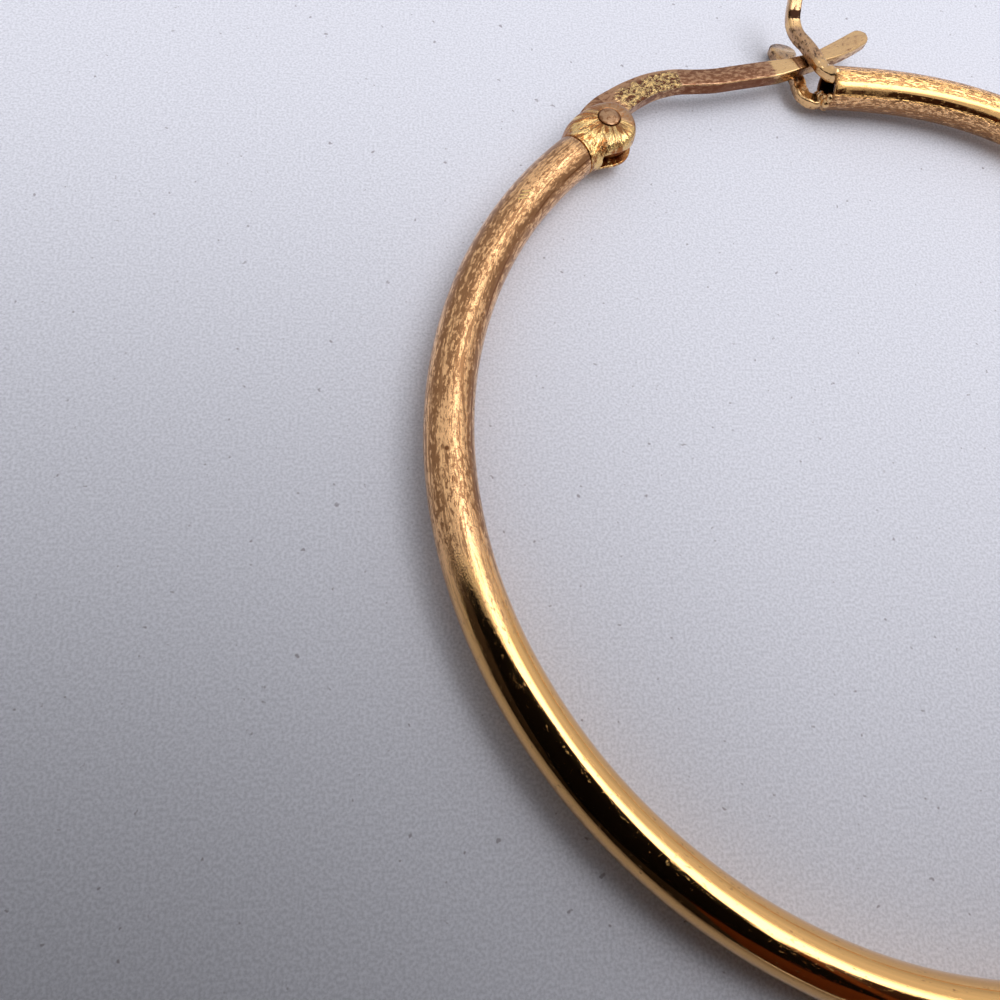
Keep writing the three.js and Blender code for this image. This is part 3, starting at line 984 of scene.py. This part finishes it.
# %% [markdown]
# ## Marks of the knuckle and the ear wire
# The knuckle was brushed outwards from its rivet, so its pattern is drawn in polar coordinates: the
# angle about the rivet and the distance from it. The ear wire is bright and crinkled where pliers
# bent it, and the dents are bright on their ridges and dark in their cracks; the bright ridges take a
# paler fresh colour that is partly a painted highlight.

# %% Knuckle and wire marks
COARSE_BRUSHING = ((3.6, 1.1, 1.2), 4, 0.62)
FINE_BRUSHING = ((11, 2.2, 3), 3)
GROOVES = ((3.6, 1.4, 1.2), 4, 0.7)
# A line round the head: distance from the rivet's middle, half its width and its soft edge, in mm.
HEAD_LINE = (1.1, 0.02, 0.05)
DENTS = ((4.4, 5.4, 5.4), 4, 0.65, 0.6)
BEND_SWAY = ((2, 5, 5), 2)
# Where the wire's crinkled bend starts and ends along the wire, and ends across it, in mm.
BEND_START = (2.1, 2.7)
BEND_END = (5.95, 6.1)
BEND_SIDE = (0.24, 0.44)
WIRE_LINE = (12.65, 0.03, 0.05)


def knuckle_marks(skin):
    """Brushing that runs out from the rivet, deepest on the hoop's side, and a turned rim line."""
    along, across, level = split_skin(skin)
    angle = math_node("ARCTAN2", across, product(along, -1.0))
    tree = skin.id_data
    reach = add(tree, "ShaderNodeVectorMath", {0: skin}, operation="LENGTH").outputs["Value"]
    polar = add(tree, "ShaderNodeCombineXYZ", {0: angle, 1: reach, 2: level}).outputs[0]
    coarse = ramp(pattern(polar, *COARSE_BRUSHING), 0.4, 0.6)
    fine = ramp(pattern(polar, *FINE_BRUSHING), 0.35, 0.65)
    raised = total(product(coarse, 0.75), product(fine, 0.25))
    past_rivet = total(along, swing(coarse, 0.3))
    brushed = inverse(ramp(past_rivet, -0.1, 0.4))
    near = inverse(ramp(reach, 0.9, 1.7))
    left = ramp(across, -0.5, 0.9)
    deep = total(
        pattern(polar, *GROOVES), product(near, 0.09), product(left, 0.04),
    )
    grooves = product(ramp(deep, 0.5, 0.58), brushed, 0.95)
    head_line = product(band(reach, *HEAD_LINE), 0.75)
    # Between the grooves the brushed metal takes the paler fresh colour, partly a painted highlight.
    bright = product(inverse(ramp(deep, 0.46, 0.52)), brushed, 0.75)
    dark = larger(grooves, head_line)
    return dark, bright, product(raised, total(brushed, 0.2))


def wire_marks(skin):
    """Plier marks on the bend: short crossing dents, bright on their ridges, where the paler fresh
    colour is partly a painted highlight.
    """
    run, across, level = split_skin(skin)
    sway = swing(pattern(skin, *BEND_SWAY), 0.6)
    bend = product(
        ramp(total(run, sway), *BEND_START),
        inverse(ramp(run, *BEND_END)),
        inverse(ramp(total(across, sway), *BEND_SIDE)),
        ramp(level, WIRE_THICKNESS / 2 - 2 * WIRE_EDGE, WIRE_THICKNESS / 2 - WIRE_EDGE),
    )
    dents = ramp(pattern(skin, *DENTS), 0.38, 0.62)
    cracks = product(ramp(inverse(dents), 0.6, 0.9), bend)
    dark = larger(cracks, product(band(run, *WIRE_LINE), 0.8))
    return dark, product(bend, ramp(dents, 0.2, 0.5)), product(dents, bend)


# %% [markdown]
# ## Where stain, grime and painted shade lie
# Two more marks on the points say roughly how dull and how dirty the metal is, from 0 to 1, and the
# noise of the finish breaks them up. The second also holds painted shade inside the tube, the catch's
# mouth, the knuckle's slot and the wire's eye, and painted dark reflections on the tube and the
# catch. They are worked out from the skin mark and from which way the surface faces.

# %% Stain, grime and painted shade of the tube


def mark_share(piece, name, values):
    mark = piece.data.attributes.new(name, "FLOAT", "POINT")
    mark.data.foreach_set("value", np.clip(values, 0, 1).astype(np.float32))


def skin_of(piece):
    return read_vectors(piece.data.attributes["skin"].data, "vector").T


def bump_at(values, middle, half):
    """1 at the middle, falling away on both sides."""
    return np.exp(-((values - middle) / half) ** 2)


def rise(values, low, high):
    """0 below low, 1 above high, smooth between."""
    share = np.clip((values - low) / (high - low), 0, 1)
    return share * share * (3 - 2 * share)


def paint_tube():
    """Film on the hinge side and at the catch. On the hinge side the crest is grimy and a streak on
    each side of it is a painted dark reflection. Inside the tube is painted shade, the tube is darker
    towards its mouth, and the outer side by the catch is grimy. turn is in degrees."""
    run, across, level = skin_of(tube)
    turn = np.degrees(np.arctan2(level, across))
    hinge_side = 1 - 0.85 * rise(run, 18, 26.5)
    at_catch = rise(run, TUBE_LENGTH - 14, TUBE_LENGTH - 8)
    inner_film = 0.6 * rise(turn, 156, 163)
    outer_film = 0.5 * (1 - rise(turn, 74, 96))
    catch_side = at_catch * (0.3 + inner_film + outer_film)
    mark_share(tube, "stain", np.maximum(hinge_side, catch_side))
    darkened = 1 - rise(run, 16, 25)
    crest = 0.5 * bump_at(turn, 84, 12) * bump_at(run, 10, 4.5)
    # Painted dark reflections: a streak on each side of the crest, on the hinge side only.
    outer_streak = 0.62 * bump_at(turn, 50, 10) * darkened
    inner_streak = 0.62 * bump_at(turn, 138, 12) * darkened
    # Painted shade inside the tube; the end by the mouth is painted darker too.
    inside = np.hypot(across, level) < TUBE_RADIUS - TUBE_WALL / 2
    rim = 0.45 * rise(run, TUBE_LENGTH - 0.5, TUBE_LENGTH) + 1.0 * inside
    outer_end = 0.6 * at_catch * (1 - rise(turn, 56, 74))
    grime_shade_and_reflection = np.maximum.reduce((crest, outer_streak, inner_streak, rim, outer_end))
    mark_share(tube, "grime_shade_and_reflection", grime_shade_and_reflection)
    print("share of the tube's points with grime:", round(float((grime_shade_and_reflection > 0.5).mean()), 2))


paint_tube()

# %% [markdown]
# ## Stain, grime and painted shade of the small pieces
# The solder is the cleanest metal, and the knuckle is dull where the brush didn't reach. The catch's
# mouth, the knuckle's slot and the wire's eye in it are painted dark as shade, and the catch's upper
# arm has a painted dark reflection with a painted highlight below it. The ear wire's stain changes
# along its length, so a short table says how dull it is at each distance from its heel.

# %% Stain, grime and painted shade of the small pieces
# Columns: distance along the wire from its heel in mm, how dull it is there.
WIRE_STAIN = (
    (0, 0.9), (2.2, 0.9), (2.6, 0.75),
    (6.0, 0.75), (6.2, 1.0), (11.0, 0.95),
    (11.4, 0.3), (12.6, 0.3), (12.7, 0.75),
    (13.8, 0.5), (18.5, 0.45),
)


def paint_catch():
    """The upper arm has a painted dark reflection near its tip and a painted highlight below it, the
    mouth between the arms has painted shade, and the solder is the cleanest metal.
    """
    out, off, level = skin_of(catch)
    solder = rise(-np.hypot(out, off - SOLDER_MIDDLE), -1.5, -0.8)
    # A band of the upper arm below its tip is painted cleaner, as a highlight.
    painted_highlight = bump_at(out, 3.35, 0.25)
    mark_share(catch, "stain", 0.72 - 0.5 * solder - 0.5 * painted_highlight + 0.3 * (level < -ARM_LEVEL))
    # A painted dark reflection on the top faces of the upper arm near its tip.
    top = normals_of(catch)[:, 2] > 0.55
    dark_reflection = bump_at(out, 3.82, 0.27) ** 2 * (level > ARM_LEVEL) * top
    # Painted shade inside the mouth between the arms.
    inside = 0.6 * bump_at(level, 0, 0.4) * (out > -0.5) * (off > 0.25)
    lower_tip = 0.15 * (level < -0.5) * rise(out, 2.2, 2.8)
    mark_share(catch, "grime_shade_and_reflection", np.maximum.reduce((dark_reflection * 2.5, inside, lower_tip)))


def paint_knuckle():
    """Dull towards the ear wire and on the cheeks' sides, bright where the brushing is, with painted
    shade in the slot and a dark seam by the tube.
    """
    along, across, level = skin_of(knuckle)
    sides = (1 - rise(normals_of(knuckle)[:, 2], 0.2, 0.6)) * rise(along, -1.5, -1.0)
    unbrushed = rise(along + 0.45 * across, -0.25, 0.35)
    mark_share(knuckle, "stain", np.maximum(unbrushed, 0.9 * sides))
    # The slot between the cheeks is painted dark as shade.
    slot = (np.abs(level) < WIRE_THICKNESS / 2 + 2 * SLOT_CLEARANCE) & (along > -EYE_RADIUS)
    seam = rise(-along, RIVET_REACH - SEAM_GAP - 0.1, RIVET_REACH - SEAM_GAP)
    mark_share(knuckle, "grime_shade_and_reflection", np.maximum(0.9 * slot, 0.8 * seam))


def paint_rivet():
    """Dull all over, with dirt round the edge of its heads."""
    mark_share(rivet, "stain", np.full(len(rivet.data.vertices), 0.9))
    from_middle = np.hypot(*skin_of(rivet)[:2])
    mark_share(rivet, "grime_shade_and_reflection", bump_at(from_middle, RIVET_HEAD_RADIUS, 0.06))


def paint_wire():
    """Dull by the table, tarnished where it lies in the ear, and bright on its upper edges. The eye,
    in the knuckle's slot, is painted dark as shade.
    """
    run, across, level = skin_of(ear_wire)
    ridge = bump_at(normals_of(ear_wire)[:, 2], 0.6, 0.22) * rise(run, 4.5, 6.5)
    mark_share(ear_wire, "stain", np.interp(run, *zip(*WIRE_STAIN)) * (1 - 0.9 * ridge))
    tarnish = rise(run, 6.0, 6.3) * (1 - rise(run, 10.9, 11.3))
    side = (level < WIRE_THICKNESS / 2 - WIRE_EDGE) * rise(run, 2.8, 4.5)
    # Painted shade on the eye, where it sits in the knuckle's slot.
    eye = 0.85 * (run < 0.4)
    darkened = np.maximum(0.3 * tarnish, side * (0.5 + 0.3 * tarnish)) * (1 - ridge)
    mark_share(ear_wire, "grime_shade_and_reflection", np.maximum(darkened, eye))


for paint in (paint_catch, paint_knuckle, paint_rivet, paint_wire):
    paint()
print("painted besides the tube:", [piece.name for piece in (catch, knuckle, rivet, ear_wire)])

# %% [markdown]
# ## The finishes
# The base colours of plated brass are warm and strong, because the room adds its own white on top.
# Each finish then names its clean metal, its film and its flecks, how rough each of them is, and how
# fine the brushing runs. Small numbers in the first place of a pattern scale stretch it lengthwise.

# %% Finishes
GOLD = (1.0, 0.57, 0.2, 1)
PALE_GOLD = (1.0, 0.64, 0.24, 1)
SOFT_GOLD = (0.9, 0.56, 0.25, 1)
WIRE_GOLD = (0.95, 0.6, 0.27, 1)
TAN = (0.97, 0.56, 0.26, 1)
DULL_TAN = (0.47, 0.27, 0.14, 1)
MAUVE = (0.47, 0.255, 0.135, 1)
# The browns are flecks and grime, and they also colour the painted shade and painted dark reflections.
RUST = (0.42, 0.16, 0.045, 1)
BROWN = (0.22, 0.09, 0.035, 1)
RED_BROWN = (0.17, 0.06, 0.028, 1)
DARK_BROWN = (0.03, 0.012, 0.006, 1)

# Each: colours, roughness, brushing, flecks, relief and, where a piece has them, its own marks.
finishes = {
    tube: make_metal(
        "tube_gold",
        (GOLD, TAN, BROWN), (0.08, 0.18, 0.32), (0.12, 9, 9), (3.2, 9, 9), (0.3, 1.1, 2.0),
        tube_marks,
    ),
    catch: make_metal(
        "catch_gold",
        (SOFT_GOLD, DULL_TAN, DARK_BROWN), (0.22, 0.3, 0.4), (2, 10, 10), (4, 6, 6), (0.5, 1.4, 0),
    ),
    knuckle: make_metal(
        "knuckle_gold",
        (PALE_GOLD, DULL_TAN, RUST), (0.2, 0.3, 0.3), (2, 9, 9), (4, 7, 7), (0.1, 0.6, 5.5),
        knuckle_marks,
    ),
    rivet: make_metal(
        "rivet_brass",
        (TAN, DULL_TAN, BROWN), (0.26, 0.32, 0.45), (4, 4, 4), (5, 5, 5), (0.8, 0.8, 0),
    ),
    ear_wire: make_metal(
        "wire_gold",
        (WIRE_GOLD, MAUVE, RED_BROWN), (0.2, 0.3, 0.38), (0.7, 8, 8), (3, 7, 7), (0.5, 0.9, 7.0),
        wire_marks,
    ),
}
for piece, finish in finishes.items():
    piece.data.materials.clear()
    piece.data.materials.append(finish)
    for face in piece.data.polygons:
        face.material_index = 0
print("finishes:", [finish.name for finish in finishes.values()])

# %% [markdown]
# ## Into the frame
# Now the placing matrix carries each piece from the flat drawing to its place. The frame learns
# which body the piece moves with and which plain node it takes over.

# %% Into the frame


def settle(piece, body, slot, *nodes):
    """Carries a finished piece from the flat drawing into the frame."""
    piece.data.transform(PLACE)
    piece.data.shade_smooth()
    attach(piece, body)
    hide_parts(*nodes)
    print(piece.name, "faces:", len(piece.data.polygons))


settle(tube, "hoop", "tube_gold", "hoop_with_catch")
settle(catch, "hoop", "tube_gold", "hoop_with_catch")
settle(knuckle, "hoop", "knuckle_gold", "hinge_knuckle")
settle(rivet, "hoop", "rivet_brass", "hinge_rivet")
settle(ear_wire, "ear_wire", "wire_gold", "ear_wire")

# %% [markdown]
# ## The floor
# The earring lies on a pale matt floor with a fine grain and a few grey specks. The floor matters
# for the metal too: the underside of the tube shows nothing else. It is a plain sheet at the level
# of the frame's origin.

# %% Floor
FLOOR_HALF = 0.6
FLOOR_GRAIN = {"Scale": 9000.0, "Detail": 3.0}
FLOOR_SPECKS = {"Scale": 2600.0, "Detail": 2.0}
FLOOR_DARK = (0.66, 0.67, 0.73, 1)
FLOOR_LIGHT = (0.86, 0.87, 0.94, 1)
SPECK_COLOUR = (0.4, 0.38, 0.42, 1)
FLOOR_ROUGHNESS = 0.8


def make_sheet(name, corners, material):
    """A four-cornered sheet of one face."""
    mesh = bpy.data.meshes.new(name)
    mesh.from_pydata(corners, [], [(0, 1, 2, 3)])
    mesh.materials.append(material)
    return new_object(name, mesh)


def make_floor():
    material, tree, shader = new_material("pale_floor")
    place = add(tree, "ShaderNodeTexCoord").outputs["Object"]
    grain = add(tree, "ShaderNodeTexNoise", {"Vector": place, **FLOOR_GRAIN}).outputs["Fac"]
    specks = add(tree, "ShaderNodeTexNoise", {"Vector": place, **FLOOR_SPECKS}).outputs["Fac"]
    paper = blend_colours(ramp(grain, 0.3, 0.7), FLOOR_DARK, FLOOR_LIGHT)
    colour = blend_colours(ramp(specks, 0.7, 0.77), paper, SPECK_COLOUR)
    feed(shader.inputs["Base Color"], colour)
    feed(shader.inputs["Roughness"], FLOOR_ROUGHNESS)
    sides = ((-1, -1), (1, -1), (1, 1), (-1, 1))
    floor = make_sheet("floor", [(x * FLOOR_HALF, y * FLOOR_HALF, 0) for x, y in sides], material)


make_floor()
print("floor across, m:", 2 * FLOOR_HALF)

# %% [markdown]
# ## The room
# A polished tube is mostly a picture of the room. A bright window overhead, of two panes, gives the
# cream line along the hoop. The walls are darker than the ceiling, so the tube's sides are darker
# than its crest.

# %% Room
ROOM = (0.8, 0.8, 0.83, 1)
ROOM_STRENGTH = 0.84
# The walls' share of the ceiling's light, and how high they reach.
WALL_SHARE = 0.6
WALL_TOP = 0.5
# Columns: degrees round from +X and down from straight up, then the degrees from a patch's middle
# where it starts to fade and where it ends.
WINDOW_PANES = ((18, 27, 11, 23), (-28, 28, 11, 23))
SIDE_PATCH = (50, 75, 20, 70)
WINDOW_STRENGTH = 3.6
SIDE_STRENGTH = 0.1


def direction(azimuth, from_zenith):
    """A unit direction from degrees round from +X and degrees down from straight up."""
    turn, fall = math.radians(azimuth), math.radians(from_zenith)
    return (math.sin(fall) * math.cos(turn), math.sin(fall) * math.sin(turn), math.cos(fall))


def light_patch(towards, azimuth, from_zenith, inner, outer):
    """1 within inner degrees of a direction, falling to 0 at outer degrees."""
    near = add(
        towards.id_data, "ShaderNodeVectorMath", {0: towards, 1: direction(azimuth, from_zenith)},
        operation="DOT_PRODUCT",
    ).outputs["Value"]
    return ramp(near, math.cos(math.radians(outer)), math.cos(math.radians(inner)))


def make_world():
    world = bpy.data.worlds.new("room")
    world.use_nodes = True
    tree = world.node_tree
    background = tree.nodes["Background"]
    towards = add(tree, "ShaderNodeTexCoord").outputs["Generated"]
    panes = larger(*(light_patch(towards, *pane) for pane in WINDOW_PANES))
    window = product(panes, WINDOW_STRENGTH)
    side = product(light_patch(towards, *SIDE_PATCH), SIDE_STRENGTH)
    height = add(tree, "ShaderNodeSeparateXYZ", {"Vector": towards}).outputs[2]
    walls = product(ramp(height, 0.0, WALL_TOP), ROOM_STRENGTH * (1 - WALL_SHARE))
    lit = total(window, side, walls, ROOM_STRENGTH * WALL_SHARE)
    feed(background.inputs["Strength"], lit)
    feed(background.inputs["Color"], ROOM)
    bpy.context.scene.world = world


make_world()
bpy.context.scene.view_settings.view_transform = "Standard"

# %% [markdown]
# ## Dark cards
# A dark shape held close over the hoop gives the black band beside its cream line and takes light
# from the floor underneath. Dark cards in the plane of the lens do both, and they are seen only in
# reflections. Each lies a little behind the one before it, so that no two share a plane.

# %% Dark cards
CARD_GAP = 0.5
CARD_ROUGHNESS = 0.9
CARD_SHINE = 0.1
# Columns: the card's four corners, right and down from the lens in the picture's directions, in mm,
# then its colour.
DARK_CARDS = (
    (((-28, -12), (19, -12), (26, 26), (-28, 38)), (0.004, 0.003, 0.003, 1)),
    (((0, 28), (27, 6), (34, 70), (0, 70)), (0.24, 0.07, 0.02, 1)),
    (((-120, -12.5), (19, -12.5), (19, 80), (-120, 80)), (0.09, 0.07, 0.06, 1)),
    (((28, 6), (50, 0), (95, 90), (28, 46)), (0.05, 0.02, 0.012, 1)),
)


def make_card(outline, colour, depth):
    """A dark card in the plane of the lens, depth mm behind it."""
    view = portrait.matrix_world.to_3x3()
    across, down, back = view.col[0], -view.col[1], view.col[2]
    lens = portrait.location
    corners = [lens + (across * u + down * w + back * depth) * MM for u, w in outline]
    material, _, shader = new_material("dark_card")
    feed(shader.inputs["Base Color"], colour)
    feed(shader.inputs["Roughness"], CARD_ROUGHNESS)
    feed(shader.inputs["Specular IOR Level"], CARD_SHINE)
    card = make_sheet("dark_card", corners, material)
    card.visible_camera = False


for number, (outline, colour) in enumerate(DARK_CARDS, 1):
    make_card(outline, colour, CARD_GAP * number)
print("dark cards:", len(DARK_CARDS))
